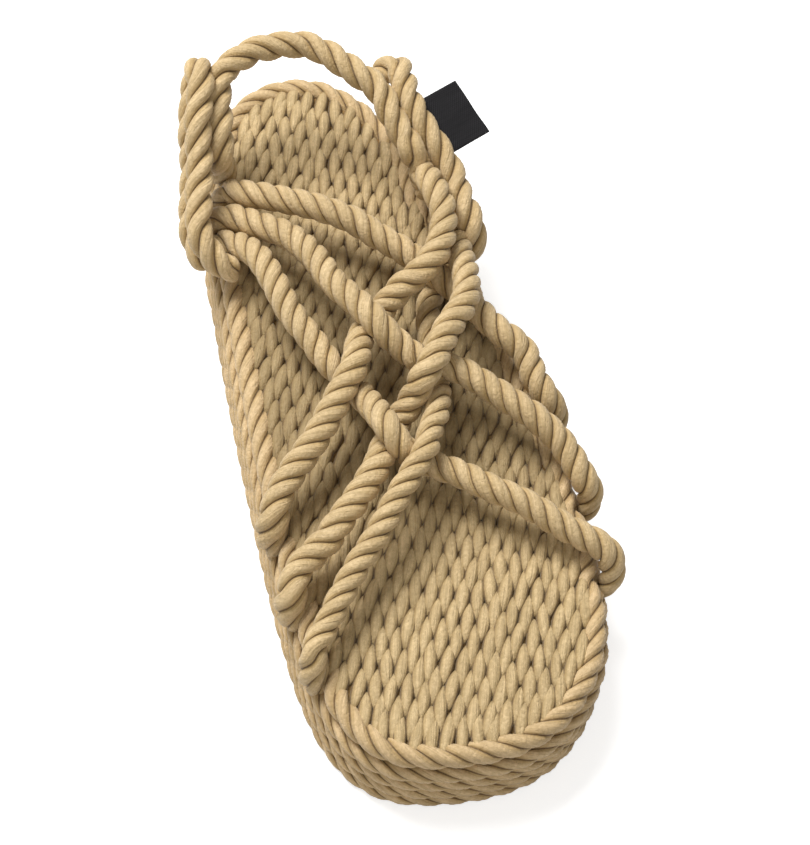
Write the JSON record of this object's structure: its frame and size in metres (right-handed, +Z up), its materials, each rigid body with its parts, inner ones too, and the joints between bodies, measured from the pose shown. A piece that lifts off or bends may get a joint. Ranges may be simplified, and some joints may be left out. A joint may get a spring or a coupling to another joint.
{
  "type": "rope sandal",
  "caption": "Left sandal made of laid rope: thick flat sole of coiled rope, woven rope straps over the foot and a rope strap round the heel.",
  "frame": {"origin": "middle of the sandal's bounding box, on the floor under the sole", "axes": "+X to the toe, +Y to the outer side of the foot, +Z up"},
  "size_m": [0.2656, 0.1172, 0.0671],
  "materials": {
    "laid_rope": "twisted fibre, soft sheen",
    "woven_label": "woven, matte"
  },
  "bodies": {
    "root": {"sole_core": "laid_rope", "border_rope": "laid_rope", "edge_rope_1": "laid_rope", "edge_rope_2": "laid_rope", "edge_rope_3": "laid_rope", "edge_rope_4": "laid_rope", "strap_web": "laid_rope", "heel_strap": "laid_rope", "inner_hitch": "laid_rope", "outer_hitch": "laid_rope", "label": "woven_label"}
  },
  "joints": []
}
